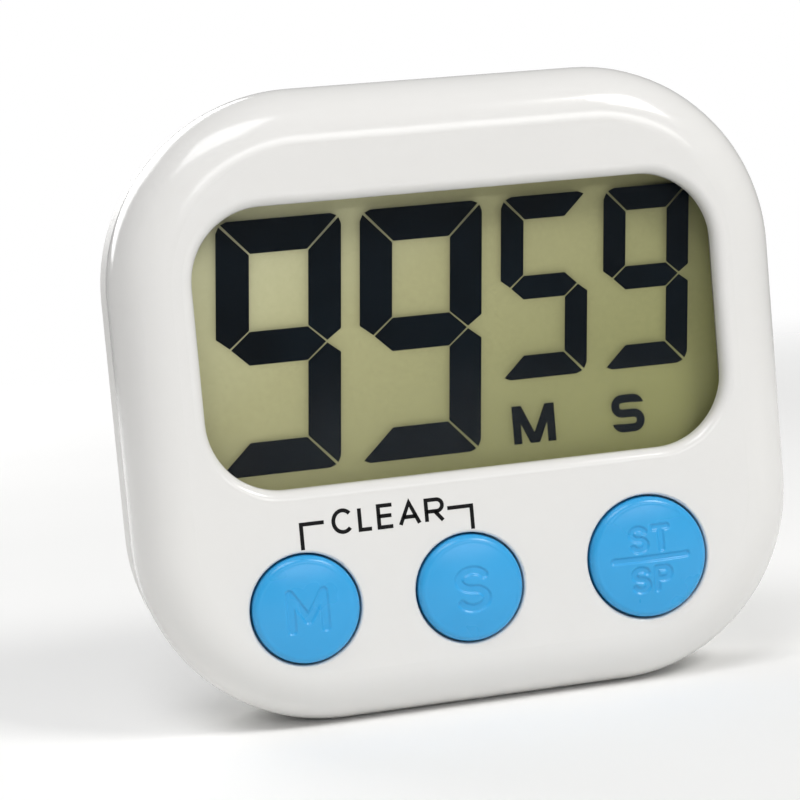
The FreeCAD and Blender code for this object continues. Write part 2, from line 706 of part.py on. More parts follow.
def buzzer_coil():
    """Upright drum coil that lifts the voltage for the sounder."""
    c = coil
    low, high = board_back, board_back + c["high"]
    core = rod(c["core_r"], low, high, c["x"], c["z"])
    flanges = [rod(c["flange_r"], start, start + c["flange"], c["x"], c["z"])
               for start in (low, high - c["flange"])]
    winding = rod(c["winding_r"], low + c["flange"], high - c["flange"], c["x"], c["z"])
    return core.fuse(flanges + [winding]).removeSplitter()


def buzzer_disc():
    high = case_depth - sounder_seat
    return rod(sounder_r, high - sounder_thick, high, 0, sounder_z)


def buzzer_ceramic():
    high = case_depth - sounder_seat - sounder_thick
    return rod(ceramic_r, high - sounder_thick, high, 0, sounder_z)


def aaa_cell():
    flat = cell_x + cell_length
    can = Part.makeCylinder(cell_r, cell_length, at(cell_x, cell_depth, cell_z), ACROSS)
    can = can.makeFillet(0.6, [e for e in can.Edges if e.BoundBox.XLength < 0.01])
    nub = Part.makeCylinder(nub_r, nub_length + 0.1, at(flat - 0.1, cell_depth, cell_z), ACROSS)
    return can.fuse(nub).removeSplitter()


positive_x = cell_x + cell_length + nub_length + contact_gap
negative_x = bay_low_x + contact_gap


def contact_plate(x, side):
    """Sheet contact against one end of the bay, with a solder tag through the wall."""
    half = contact_width / 2
    plate = Part.makeBox(contact_thick, contact_width, contact_width, at(x, cell_depth - half, cell_z - half))
    tag_start = x if side > 0 else x + contact_thick
    low, high = sorted((tag_start, tag_start + side * (bay_wall + tag_reach)))
    tag = box(low, high, tag_depth - contact_thick / 2, tag_depth + contact_thick / 2,
              cell_z - tag_height / 2, cell_z + tag_height / 2)
    return plate.fuse(tag).removeSplitter()


def positive_contact():
    return contact_plate(positive_x, 1)


def negative_plate():
    return contact_plate(negative_x, -1)


def negative_spring():
    """Cone spring between the plate and the flat end of the cell."""
    low_x = negative_x + contact_thick + spring_wire_r
    high_x = cell_x - spring_wire_r - contact_gap
    count = int(spring_turns * spring_corners)
    corners = []
    for i in range(count + 1):
        part = i / count
        turn = 2 * math.pi * spring_turns * part
        radius = spring_wide_r + (spring_narrow_r - spring_wide_r) * part
        corners.append((low_x + (high_x - low_x) * part,
                        cell_depth + radius * math.cos(turn), cell_z + radius * math.sin(turn)))
    return wire(corners, spring_wire_r)


def wire(points, radius_of_wire=wire_r):
    """A wire of one thickness along straight runs joined by tangent arcs."""
    spots = [at(*p) for p in points]
    edges = []
    here = spots[0]
    for before, corner, after in zip(spots, spots[1:], spots[2:]):
        back, ahead = (before - corner), (after - corner)
        turn = math.pi - back.getAngle(ahead)
        run = min(back.Length, ahead.Length)
        cut_back = 0.45 * run
        radius = cut_back / math.tan(turn / 2)
        back.normalize()
        ahead.normalize()
        first, last = corner + back * cut_back, corner + ahead * cut_back
        half = back + ahead
        half.normalize()
        middle = corner + half * (radius / math.cos(turn / 2) - radius)
        edges.append(Part.makeLine(here, first))
        edges.append(Part.Arc(first, middle, last).toShape())
        here = last
    edges.append(Part.makeLine(here, spots[-1]))
    path = Part.Wire(edges)
    ring = Part.Wire(Part.makeCircle(radius_of_wire, spots[0], spots[1] - spots[0]))
    return path.makePipeShell([ring], True, True)


tag_end = positive_x + bay_wall + tag_reach          # free end of the positive contact's tag
black_end = negative_x + contact_thick - bay_wall - tag_reach
disc_back = case_depth - sounder_seat - sounder_thick
wire_routes = {
    "battery_wire_red": ((tag_end, tag_depth, 65.2), (29.6, tag_depth, 65.2), (31.0, 12.0, 59.0),
                         (31.2, 12.6, 50.0), (30.9, 12.6, 41.0), (29.6, 12.4, 34.0), (27.3, 11.9, 29.4),
                         (27.3, board_back, 29.4)),
    "battery_wire_black": ((black_end, tag_depth, 65.2), (-32.2, tag_depth, 65.2), (-32.6, 12.4, 59.0),
                           (-32.0, 12.8, 49.0), (-31.0, 12.8, 41.0), (-29.6, 12.4, 34.0), (-27.5, 11.9, 29.4),
                           (-27.5, board_back, 29.4)),
    "buzzer_wire_red": ((1.6, disc_back - sounder_thick, 51.6), (1.6, 14.6, 51.6), (3.6, 12.4, 47.0),
                        (4.8, 12.0, 40.5), (5.2, 12.2, 34.5), (4.8, 12.0, 30.2), (4.8, board_back, 30.2)),
    "buzzer_wire_black": ((-5.0, disc_back, 50.0), (-5.0, 14.8, 50.0), (-4.2, 12.6, 46.0), (-3.8, 12.2, 40.0),
                          (-4.0, 12.4, 34.5), (-4.4, 12.0, 30.2), (-4.4, board_back, 30.2)),
}


def solder_joints():
    """Cone of solder about each wire where it meets the board."""
    joints = []
    for points in wire_routes.values():
        x, depth, z = points[-1]
        cone = Part.makeCone(solder_wide_r, solder_narrow_r, solder_high, at(x, depth, z), INTO)
        joints.append(cone.cut(rod(wire_r + solder_clear, depth - 1, depth + 2, x, z)))
    return Part.makeCompound(joints)


def all_nodes():
    nodes = {
        "front_shell": front_shell(), "rear_shell": rear_shell(), "battery_door": battery_door(),
        "stand": stand(), "magnets": magnets(), "lens_tape": lens_tape(), "lens": lens(),
        "lcd_segments": lcd_segments(), "lcd_retainer": lcd_retainer(), "zebra_strip": zebra_strip(),
        "circuit_board": circuit_board(), "board_screws": board_screws(), "case_screws": case_screws(),
        "key_pads": key_pads(), "keypad_sheet": keypad_sheet(), "chip_cover": chip_cover(),
        "crystal_can": crystal_can(), "smd_parts": smd_parts(), "buzzer_coil": buzzer_coil(),
        "buzzer_disc": buzzer_disc(), "buzzer_ceramic": buzzer_ceramic(), "aaa_cell": aaa_cell(),
        "positive_contact": positive_contact(), "negative_plate": negative_plate(),
        "negative_spring": negative_spring(), "solder_joints": solder_joints(),
    }
    nodes.update(display_stack())
    for name, (x, z, radius) in buttons.items():
        nodes[name + "_cap"] = button_cap(x, z, radius)
        nodes[name + "_plunger"] = plunger(x, z)
        nodes[name + "_pill"] = pill(x, z)
    for name, points in wire_routes.items():
        nodes[name] = wire(points)
    return nodes


os.makedirs("parts", exist_ok=True)
for name, shape in all_nodes().items():
    shape.exportStep("parts/" + name + ".step")
    b = shape.optimalBoundingBox(False)
    print(f"{name:20s} valid {shape.isValid()} solids {len(shape.Solids):2d} volume {shape.Volume:9.2f} "
          f"x {b.XMin:6.2f} {b.XMax:6.2f} y {b.YMin:6.2f} {b.YMax:6.2f} z {b.ZMin:6.2f} {b.ZMax:6.2f}")
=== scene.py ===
# Kitchen timer: a moulded white case, a segment display behind a clear window, and domed push buttons.
# Metres, in the part's own frame: +Z up, +X to the reader's right, and the display faces -Y.
import math

import bmesh
import bpy
from mathutils import Matrix, Vector


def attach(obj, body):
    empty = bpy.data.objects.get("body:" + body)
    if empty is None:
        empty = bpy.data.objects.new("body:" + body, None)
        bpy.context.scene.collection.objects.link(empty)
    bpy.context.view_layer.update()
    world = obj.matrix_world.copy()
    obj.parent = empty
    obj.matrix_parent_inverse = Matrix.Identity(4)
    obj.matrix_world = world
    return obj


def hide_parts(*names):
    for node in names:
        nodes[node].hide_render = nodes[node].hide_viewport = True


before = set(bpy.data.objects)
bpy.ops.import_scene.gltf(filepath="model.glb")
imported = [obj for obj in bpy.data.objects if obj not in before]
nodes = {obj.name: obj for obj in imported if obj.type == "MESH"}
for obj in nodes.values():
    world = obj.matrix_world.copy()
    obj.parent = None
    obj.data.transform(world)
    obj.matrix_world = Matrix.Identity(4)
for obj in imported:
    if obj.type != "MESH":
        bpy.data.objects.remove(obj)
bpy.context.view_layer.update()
mm = 0.001
print("frame loaded:", len(nodes), "nodes")

caseSize = {
    "faceY": -9.8 * mm,        # flat front face of the case
    "backY": 11.2 * mm,
    "width": 84.2 * mm,
    "height": 78.1 * mm,
}


def colour(text, alpha=1.0):
    parts = [int(text[i:i + 2], 16) / 255 for i in (1, 3, 5)]
    return [c / 12.92 if c <= 0.04045 else ((c + 0.055) / 1.055) ** 2.4 for c in parts] + [alpha]


# One node with its settings, and its inputs as plain values or as (node, output) links
def addNode(tree, kind, settings=None, inputs=None):
    node = tree.nodes.new(kind)
    for name, value in (settings or {}).items():
        setattr(node, name, value)
    for name, value in (inputs or {}).items():
        if isinstance(value, tuple) and isinstance(value[0], bpy.types.Node):
            tree.links.new(value[0].outputs[value[1]], node.inputs[name])
        else:
            node.inputs[name].default_value = value
    return node


def newMaterial(name):
    material = bpy.data.materials.new(name)
    material.use_nodes = True
    tree = material.node_tree
    tree.nodes.clear()
    place = addNode(tree, "ShaderNodeTexCoord")
    output = addNode(tree, "ShaderNodeOutputMaterial")
    return material, tree, place, output


def setRamp(node, stops):
    ramp = node.color_ramp
    while len(ramp.elements) > 1:
        ramp.elements.remove(ramp.elements[-1])
    ramp.elements[0].position, ramp.elements[0].color = stops[0]
    for position, value in stops[1:]:
        ramp.elements.new(position).color = value
    return node


# A surface with soft mottling in its colour and roughness, and a fine bump
def mouldedSurface(name, base, tint, patchMm, roughLow, roughHigh, grainMm, bump, **shader):
    material, tree, place, output = newMaterial(name)
    patch = addNode(tree, "ShaderNodeTexNoise", inputs={
        "Vector": (place, "Object"), "Scale": 1 / (patchMm * mm), "Detail": 3.0, "Roughness": 0.55})
    ramp = setRamp(addNode(tree, "ShaderNodeValToRGB", inputs={"Fac": (patch, "Fac")}),
                   [(0.0, colour(base)), (1.0, colour(tint))])
    ramp.color_ramp.interpolation = "EASE"
    rough = addNode(tree, "ShaderNodeMapRange", inputs={
        "Value": (patch, "Fac"), "From Min": 0.3, "From Max": 0.7, "To Min": roughLow, "To Max": roughHigh})
    grain = addNode(tree, "ShaderNodeTexNoise", inputs={
        "Vector": (place, "Object"), "Scale": 1 / (grainMm * mm), "Detail": 2.0})
    relief = addNode(tree, "ShaderNodeBump", inputs={
        "Height": (grain, "Fac"), "Strength": bump, "Distance": 0.05 * mm})
    inputs = {"Base Color": (ramp, "Color"), "Roughness": (rough, "Result"), "Normal": (relief, "Normal")}
    inputs.update(shader)
    skin = addNode(tree, "ShaderNodeBsdfPrincipled", inputs=inputs)
    tree.links.new(skin.outputs["BSDF"], output.inputs["Surface"])
    return material


def dress(node, material):
    mesh = nodes[node].data
    mesh.materials.clear()
    mesh.materials.append(material)
    for face in mesh.polygons:
        face.material_index = 0


def finishPiece(name, mesh, material, body, replaced=()):
    mesh.materials.clear()
    mesh.materials.append(material)
    piece = bpy.data.objects.new(name, mesh)
    bpy.context.scene.collection.objects.link(piece)
    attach(piece, body)
    if replaced:
        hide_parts(*replaced)
    return piece


# ABS moulded in a polished tool: glossy white, so lights show as clear bands along every soft edge
whiteAbsPolished = mouldedSurface("whiteAbsPolished", "#dcdbd8", "#dedddb", 40.0, 0.13, 0.17, 6.0, 0.02,
                                  **{"IOR": 1.5})
# The same ABS from a spark-eroded tool: finely pebbled, so the back looks duller than the front
whiteAbsGrained = mouldedSurface("whiteAbsGrained", "#d9d8d5", "#dcdbd8", 30.0, 0.42, 0.50, 0.45, 0.22,
                                 **{"IOR": 1.5})
# ABS coloured through and moulded glossy: each dome carries one soft light patch in its upper part
blueAbsMoulded = mouldedSurface("blueAbsMoulded", "#2c9bd6", "#319fda", 9.0, 0.26, 0.32, 1.5, 0.03,
                                **{"IOR": 1.5})
# Zinc plated steel, barrel finished: grey metal with broken-up highlights on the screw heads
steelZincPlated = mouldedSurface("steelZincPlated", "#a9acae", "#bcbebf", 1.2, 0.26, 0.42, 0.2, 0.10,
                                 **{"Metallic": 1.0})
# Nickel plate over smooth steel: warmer and brighter than zinc, with clean reflections
nickelPlated = mouldedSurface("nickelPlated", "#bdb9b1", "#cbc8c1", 4.0, 0.16, 0.30, 0.5, 0.05,
                              **{"Metallic": 1.0})
# Rolled brass sheet: yellow metal, satin
brassRolled = mouldedSurface("brassRolled", "#c9a85c", "#d6b86e", 2.0, 0.25, 0.38, 0.4, 0.08,
                             **{"Metallic": 1.0})
# Solder that froze bright: pale metal with a rippled skin
tinSolder = mouldedSurface("tinSolder", "#b4b6b8", "#c8cacb", 0.8, 0.18, 0.32, 0.3, 0.15, **{"Metallic": 1.0})
# Rubbers, foam and carbon fill: dull, so nothing behind the caps catches the light
siliconeMoulded = mouldedSurface("siliconeMoulded", "#c9c8c4", "#d4d3cf", 3.0, 0.50, 0.62, 0.4, 0.10)
siliconeLayered = mouldedSurface("siliconeLayered", "#35312f", "#4a4441", 1.5, 0.55, 0.65, 0.2, 0.10)
carbonRubber = mouldedSurface("carbonRubber", "#17171a", "#212124", 1.0, 0.60, 0.72, 0.2, 0.15)
foamTape = mouldedSurface("foamTape", "#1a1b18", "#262722", 1.5, 0.70, 0.82, 0.3, 0.30)
# Board parts: solder mask over glass epoxy, poured resin, fired and pressed ceramics
glassEpoxyMasked = mouldedSurface("glassEpoxyMasked", "#17553a", "#1d6444", 2.5, 0.28, 0.40, 0.3, 0.12)
resinPoured = mouldedSurface("resinPoured", "#0c0c0d", "#141415", 2.0, 0.16, 0.28, 0.8, 0.06)
chipCeramic = mouldedSurface("chipCeramic", "#8a7258", "#a18867", 0.6, 0.40, 0.55, 0.15, 0.10)
ferriteMoulded = mouldedSurface("ferriteMoulded", "#202022", "#2c2c2e", 1.0, 0.45, 0.60, 0.2, 0.15)
piezoCeramic = mouldedSurface("piezoCeramic", "#cfcabd", "#dcd8cc", 1.5, 0.35, 0.50, 0.3, 0.10)
# Plain printed can of the cell: dark lacquer with a metal glint under it
cellJacket = mouldedSurface("cellJacket", "#3d4348", "#4a5157", 5.0, 0.28, 0.36, 0.8, 0.04,
                            **{"Metallic": 0.6})
# Extruded PVC: smooth, half glossy wire covering
pvcRed = mouldedSurface("pvcRed", "#a71b1d", "#b92528", 2.0, 0.38, 0.48, 0.4, 0.06)
pvcBlack = mouldedSurface("pvcBlack", "#151516", "#202021", 2.0, 0.38, 0.48, 0.4, 0.06)
# Unpolished ABS of the inner frame: chalky beside the case
retainerAbs = mouldedSurface("retainerAbs", "#d9d8d3", "#e0dfda", 8.0, 0.45, 0.55, 0.5, 0.15)
# Pad printed ink: a flat black that stays dark under the lights
inkPrinted = mouldedSurface("inkPrinted", "#0a0a0b", "#100f10", 1.0, 0.50, 0.60, 0.15, 0.05,
                            **{"Specular IOR Level": 0.15})
print("finishes made")


# The reflector: an olive film with painted light and shade on it, paler towards its upper left and darker towards its
# lower right corner
def makeReflector():
    material, tree, place, output = newMaterial("oliveFilmPaintedShade")
    # Painted shade, which grows to the right across the film and downwards from its top edge
    spot = addNode(tree, "ShaderNodeSeparateXYZ", inputs={"Vector": (place, "Object")})
    across = addNode(tree, "ShaderNodeMapRange", inputs={
        "Value": (spot, "X"), "From Min": -33 * mm, "From Max": 33 * mm, "To Min": 0.0, "To Max": 0.62})
    up = addNode(tree, "ShaderNodeMapRange", inputs={
        "Value": (spot, "Z"), "From Min": 63 * mm, "From Max": 30 * mm, "To Min": 0.0, "To Max": 0.48})
    paintedShade = addNode(tree, "ShaderNodeMath", {"operation": "ADD"})
    tree.links.new(across.outputs["Result"], paintedShade.inputs[0])
    tree.links.new(up.outputs["Result"], paintedShade.inputs[1])
    # Painted light and shade: pale olive at the upper left, deep olive at the lower right
    ramp = setRamp(addNode(tree, "ShaderNodeValToRGB", inputs={"Fac": (paintedShade, "Value")}), [
        (0.0, colour("#d8d7b4")), (0.4, colour("#aeac83")), (0.75, colour("#97976b")), (1.0, colour("#90915f"))])
    # Fine pearl grain of the film, drawn coarse enough to show
    grain = addNode(tree, "ShaderNodeTexNoise", inputs={
        "Vector": (place, "Object"), "Scale": 1 / (0.5 * mm), "Detail": 2.0})
    mixed = addNode(tree, "ShaderNodeMix", {"data_type": "RGBA", "blend_type": "OVERLAY"}, {"Factor": 0.08})
    tree.links.new(ramp.outputs["Color"], mixed.inputs[6])
    tree.links.new(grain.outputs["Fac"], mixed.inputs[7])
    skin = addNode(tree, "ShaderNodeBsdfPrincipled", inputs={"Roughness": 0.55, "Specular IOR Level": 0.25})
    tree.links.new(mixed.outputs[2], skin.inputs["Base Color"])
    tree.links.new(skin.outputs["BSDF"], output.inputs["Surface"])
    return material


# Clear cast sheet: lets light straight through and mirrors a little, more at a glancing angle
def makeClear(name, tint, ior, rough, shine):
    material, tree, place, output = newMaterial(name)
    through = addNode(tree, "ShaderNodeBsdfTransparent", inputs={"Color": colour(tint)})
    gloss = addNode(tree, "ShaderNodeBsdfGlossy", inputs={"Color": colour("#ffffff"), "Roughness": rough})
    edge = addNode(tree, "ShaderNodeFresnel", inputs={"IOR": ior})
    haze = addNode(tree, "ShaderNodeTexNoise", inputs={
        "Vector": (place, "Object"), "Scale": 1 / (9 * mm), "Detail": 2.0})
    share = addNode(tree, "ShaderNodeMapRange", inputs={
        "Value": (haze, "Fac"), "From Min": 0.3, "From Max": 0.7, "To Min": shine * 0.9, "To Max": shine})
    amount = addNode(tree, "ShaderNodeMath", {"operation": "MULTIPLY"})
    tree.links.new(edge.outputs["Fac"], amount.inputs[0])
    tree.links.new(share.outputs["Result"], amount.inputs[1])
    both = addNode(tree, "ShaderNodeMixShader")
    tree.links.new(amount.outputs["Value"], both.inputs[0])
    tree.links.new(through.outputs["BSDF"], both.inputs[1])
    tree.links.new(gloss.outputs["BSDF"], both.inputs[2])
    tree.links.new(both.outputs["Shader"], output.inputs["Surface"])
    return material


oliveFilmPaintedShade = makeReflector()
acrylicCast = makeClear("acrylicCast", "#fdfdfc", 1.49, 0.04, 0.14)
glassThin = makeClear("glassThin", "#fdfdfc", 1.3, 0.05, 0.05)
# Dark liquid crystal: blue-black, with a faint variation from how evenly the cell is driven
crystalDark = mouldedSurface("crystalDark", "#01050b", "#07121b", 9.0, 0.45, 0.55, 1.0, 0.0,
                             **{"Specular IOR Level": 0.05})
print("display finishes made")

finishes = {
    whiteAbsPolished: ["front_shell"],
    whiteAbsGrained: ["rear_shell", "battery_door", "stand"],
    acrylicCast: ["lens"],
    oliveFilmPaintedShade: ["lcd_rear_film"],
    crystalDark: ["lcd_segments"],
    foamTape: ["lens_tape"],
    retainerAbs: ["lcd_retainer"],
    siliconeLayered: ["zebra_strip"],
    siliconeMoulded: ["keypad_sheet", "minutes_plunger", "seconds_plunger", "start_stop_plunger"],
    carbonRubber: ["key_pads", "minutes_pill", "seconds_pill", "start_stop_pill"],
    glassEpoxyMasked: ["circuit_board"],
    steelZincPlated: ["board_screws", "crystal_can"],
    resinPoured: ["chip_cover"],
    chipCeramic: ["smd_parts"],
    ferriteMoulded: ["buzzer_coil"],
    brassRolled: ["buzzer_disc"],
    piezoCeramic: ["buzzer_ceramic"],
    cellJacket: ["aaa_cell"],
    nickelPlated: ["magnets", "positive_contact", "negative_plate"],
    tinSolder: ["solder_joints"],
    pvcRed: ["battery_wire_red", "buzzer_wire_red"],
    pvcBlack: ["battery_wire_black", "buzzer_wire_black"],
}
for material, names in finishes.items():
    for name in names:
        dress(name, material)
# The segments float in the cell, and light reaches the reflector round them
nodes["lcd_segments"].visible_shadow = False

frontGlass = {
    "x": (-34.14, 34.66), "z": (26.2, 65.7), "y": (-6.25, -5.55),
    "filmX": (-33.54, 34.06), "filmZ": (28.2, 65.1), "filmY": -6.45,
    "ground": 0.12,             # edge of the glass, ground off
}
rearGlass = {
    "x": (-34.14, 34.66), "z": (28.2, 65.7),
    "y": (-5.45, -4.77),        # ends just short of the reflector, so their faces stay apart
    "ground": 0.12,
}


# Outlines of one glass from its front face to its back, with the corners ground off
def glassOutlines(g):
    (lowX, highX), (lowZ, highZ), (frontY, backY) = g["x"], g["z"], g["y"]
    c = g["ground"]
    return [
        (lowX + c, highX - c, lowZ + c, highZ - c, frontY),
        (lowX, highX, lowZ, highZ, frontY + c),
        (lowX, highX, lowZ, highZ, backY - c),
        (lowX + c, highX - c, lowZ + c, highZ - c, backY),
    ]


def makeSheet(name, outlines):
    mesh = bmesh.new()
    loops = [[mesh.verts.new((x * mm, y * mm, z * mm)) for x, z in ((a, p), (b, p), (b, q), (a, q))]
             for a, b, p, q, y in outlines]
    for a, b in zip(loops, loops[1:]):
        for k in range(4):
            n = (k + 1) % 4
            mesh.faces.new((a[k], a[n], b[n], b[k]))
    mesh.faces.new(loops[0])
    mesh.faces.new(loops[-1][::-1])
    bmesh.ops.recalc_face_normals(mesh, faces=mesh.faces)
    data = bpy.data.meshes.new(name)
    mesh.to_mesh(data)
    mesh.free()
    return data


# The polarising film is bonded to the front glass, so there is no face between them
filmOutlines = [(*frontGlass["filmX"], *frontGlass["filmZ"], y) for y in (frontGlass["filmY"], frontGlass["y"][0])]
laminate = finishPiece("lcd_front_laminate", makeSheet("lcd_front_laminate", filmOutlines + glassOutlines(frontGlass)),
                       glassThin, "case", ["lcd_front_film", "lcd_front_glass"])
ground = finishPiece("lcd_rear_glass_ground", makeSheet("lcd_rear_glass_ground", glassOutlines(rearGlass)),
                     glassThin, "case", ["lcd_rear_glass"])
# Clear sheets lie in the light's way, and let it all through
for clear in (laminate, ground, nodes["lens"]):
    clear.visible_shadow = False
    clear.visible_diffuse = False
print("display made")


capShape = {
    "domeRise": 0.85 * mm,
    "proud": 1.4 * mm,          # middle of the dome, in front of the case's face
    "shoulderR": 0.95 * mm,
    "flangeReach": 1.1 * mm,
    "flangeDepth": 2.08 * mm,
    "flangeThick": 0.8 * mm,
    "stemR": 2.2 * mm,
    "stemDepth": 4.86 * mm,
    "hollowDepth": 0.3 * mm,
    "wall": 1.2 * mm,
    "letterDeep": 0.22 * mm,
    "letterEdge": 0.34 * mm,    # width of the soft edge of a stroke
    "ringStep": 0.09 * mm,
    "turnSteps": 360,
}


def arcPoints(cx, cz, rx, rz, start, end, count=18):
    steps = [math.radians(start + (end - start) * i / count) for i in range(count + 1)]
    return [(cx + rx * math.cos(a), cz + rz * math.sin(a)) for a in steps]


# Letters as pen paths in a box one unit high, from its lower left corner
def letterPaths(letter, width):
    half = width / 2
    if letter == "M":
        return [[(0, 0), (0, 1), (half, 0.26), (width, 1), (width, 0)]]
    if letter == "T":
        return [[(0, 1), (width, 1)], [(half, 1), (half, 0)]]
    if letter == "P":
        bowl = arcPoints(width - 0.26, 0.74, 0.26, 0.26, 90, -90)
        return [[(0, 0), (0, 1)], [(0, 1)] + bowl + [(0, 0.48)]]
    top = arcPoints(half, 0.755, half, 0.245, 28, 270)          # S
    low = arcPoints(half, 0.255, half, 0.255, 90, -152)
    return [top + low]


def placeLetters(text, height, width, gap, cx, cz):
    paths, x = [], cx - (len(text) * width + (len(text) - 1) * gap) / 2
    for letter in text:
        for path in letterPaths(letter, width / height):
            paths.append([(x + px * height, cz - height / 2 + pz * height) for px, pz in path])
        x += width + gap
    return paths


capMarks = {
    "minutes": {"stroke": 0.98, "paths": placeLetters("M", 4.4, 4.15, 0, 0, 0)},
    "seconds": {"stroke": 0.98, "paths": placeLetters("S", 4.65, 3.4, 0, 0, 0)},
    "start_stop": {"stroke": 0.74, "paths": placeLetters("ST", 2.65, 1.75, 1.15, 0, 2.45)
                   + placeLetters("SP", 2.65, 1.75, 1.15, 0, -2.65) + [[(-4.75, 0), (4.75, 0)]]},
}
capPlaces = {"minutes": (-22.6, 15.26, 6.6), "seconds": (-2.02, 15.35, 6.6), "start_stop": (21.06, 16.41, 7.57)}


def distanceToRuns(x, z, runs):
    best = 1e9
    for ax, az, bx, bz in runs:
        ux, uz = bx - ax, bz - az
        long2 = ux * ux + uz * uz
        t = max(0.0, min(1.0, ((x - ax) * ux + (z - az) * uz) / long2)) if long2 else 0.0
        dx, dz = x - ax - t * ux, z - az - t * uz
        best = min(best, dx * dx + dz * dz)
    return math.sqrt(best)


# A cap turned from its section, with the letters sunk into its dome by how near each point is to a stroke
def makeCap(name):
    s = capShape
    cx, cz, radius = [v * mm for v in capPlaces[name]]
    marks = capMarks[name]
    runs = [(a[0] * mm, a[1] * mm, b[0] * mm, b[1] * mm)
            for path in marks["paths"] for a, b in zip(path, path[1:])]
    halfStroke = marks["stroke"] * mm / 2
    faceY = caseSize["faceY"]
    ballR = ((radius - 0.35 * mm) ** 2 + s["domeRise"] ** 2) / (2 * s["domeRise"])

    # Section from the middle of the dome outwards, then down the side and back in underneath
    rings = []
    rim = radius - s["shoulderR"]
    count = int(rim / s["ringStep"])
    for i in range(1, count + 1):
        r = rim * i / count
        rings.append((r, faceY - s["proud"] + ballR - math.sqrt(ballR ** 2 - r ** 2), True))
    lastY = rings[-1][1]
    for i in range(1, 11):
        a = math.radians(9 * i)
        rings.append((rim + s["shoulderR"] * math.sin(a), lastY + s["shoulderR"] * (1 - math.cos(a)), False))
    low, high = faceY + s["flangeDepth"], faceY + s["flangeDepth"] + s["flangeThick"]
    reach = radius + s["flangeReach"]
    inner = radius - s["wall"]
    for r, y in ((radius, low), (reach, low), (reach, high), (inner, high), (inner, faceY + s["hollowDepth"]),
                 (s["stemR"], faceY + s["hollowDepth"]), (s["stemR"], faceY + s["stemDepth"])):
        rings.append((r, y, False))

    mesh = bmesh.new()
    steps = s["turnSteps"]
    middle = mesh.verts.new((cx, faceY - s["proud"] + sinkAt(0, 0, runs, halfStroke), cz))
    loops = []
    for r, y, carved in rings:
        loop = []
        for k in range(steps):
            turn = 2 * math.pi * k / steps
            dx, dz = r * math.cos(turn), r * math.sin(turn)
            sink = sinkAt(dx, dz, runs, halfStroke) if carved else 0.0
            loop.append(mesh.verts.new((cx + dx, y + sink, cz + dz)))
        loops.append(loop)
    for k in range(steps):
        mesh.faces.new((middle, loops[0][k], loops[0][(k + 1) % steps]))
    for a, b in zip(loops, loops[1:]):
        for k in range(steps):
            n = (k + 1) % steps
            mesh.faces.new((a[k], b[k], b[n], a[n]))
    mesh.faces.new(list(loops[-1]))
    bmesh.ops.recalc_face_normals(mesh, faces=mesh.faces)
    data = bpy.data.meshes.new(name + "_cap_moulded")
    mesh.to_mesh(data)
    mesh.free()
    for face in data.polygons:
        face.use_smooth = True
    data.set_sharp_from_angle(angle=math.radians(40))
    return data


def sinkAt(dx, dz, runs, halfStroke):
    s = capShape
    gap = distanceToRuns(dx, dz, runs) - halfStroke
    t = max(0.0, min(1.0, 0.5 - gap / s["letterEdge"]))
    return s["letterDeep"] * t * t * (3 - 2 * t)


for name in capPlaces:
    finishPiece(name + "_cap_moulded", makeCap(name), blueAbsMoulded, name + "_button",
                [name + "_cap"])
print("button caps made")


printedMark = {
    "word": [("C", 2.8), ("L", 1.9), ("E", 2.2), ("A", 2.85), ("R", 2.5)],    # letters and their widths
    "lowX": -18.57, "highX": -4.49,
    "lowZ": 23.88, "highZ": 27.00,
    "pen": 0.48,
    "line": 0.48,
    "thick": 0.02 * mm,         # a film of ink
    "brackets": [
        [(-22.32, 22.5), (-22.32, 25.6), (-19.5, 25.6)],
        [(-4.1, 25.5), (-1.07, 25.5), (-1.07, 22.6)],
    ],
}


# Pen paths of a printed capital in a box of that width and height
def printPaths(letter, w, h):
    if letter == "C":
        return [arcPoints(w / 2, h / 2, w / 2, h / 2, 42, 318, 28)]
    if letter == "L":
        return [[(0, h), (0, 0), (w, 0)]]
    if letter == "E":
        return [[(w, h), (0, h), (0, 0), (w, 0)], [(0, h * 0.52), (w * 0.93, h * 0.52)]]
    if letter == "A":
        return [[(0, 0), (w / 2, h), (w, 0)], [(w * 0.17, h * 0.34), (w * 0.83, h * 0.34)]]
    bowl = arcPoints(w - h * 0.27, h * 0.73, h * 0.27, h * 0.27, 90, -90, 14)
    return [[(0, 0), (0, h)] + bowl + [(0, h * 0.46)], [(w * 0.52, h * 0.46), (w, 0)]]


# One pen stroke as a closed flat ribbon with mitred corners, thickened towards the case
def addStroke(mesh, path, half):
    front = caseSize["faceY"] - printedMark["thick"]
    back = caseSize["faceY"] - printedMark["thick"] * 0.1
    sides = []
    for i, (x, z) in enumerate(path):
        runs = []
        for a, b in ((i - 1, i), (i, i + 1)):
            if a >= 0 and b < len(path):
                run = Vector((path[b][0] - path[a][0], path[b][1] - path[a][1]))
                if run.length > 1e-6:
                    runs.append(run.normalized())
        along = sum(runs, Vector((0, 0))).normalized()
        across = Vector((-along.y, along.x))
        reach = half / max(0.45, across.dot(Vector((-runs[0].y, runs[0].x))))
        sides.append(((x + across.x * reach, z + across.y * reach), (x - across.x * reach, z - across.y * reach)))
    rows = [[mesh.verts.new((px * mm, y, pz * mm)) for (px, pz), y in
             ((left, front), (right, front), (right, back), (left, back))] for left, right in sides]
    for a, b in zip(rows, rows[1:]):
        for k in range(4):
            n = (k + 1) % 4
            mesh.faces.new((a[k], a[n], b[n], b[k]))
    mesh.faces.new(rows[0][::-1])
    mesh.faces.new(rows[-1])


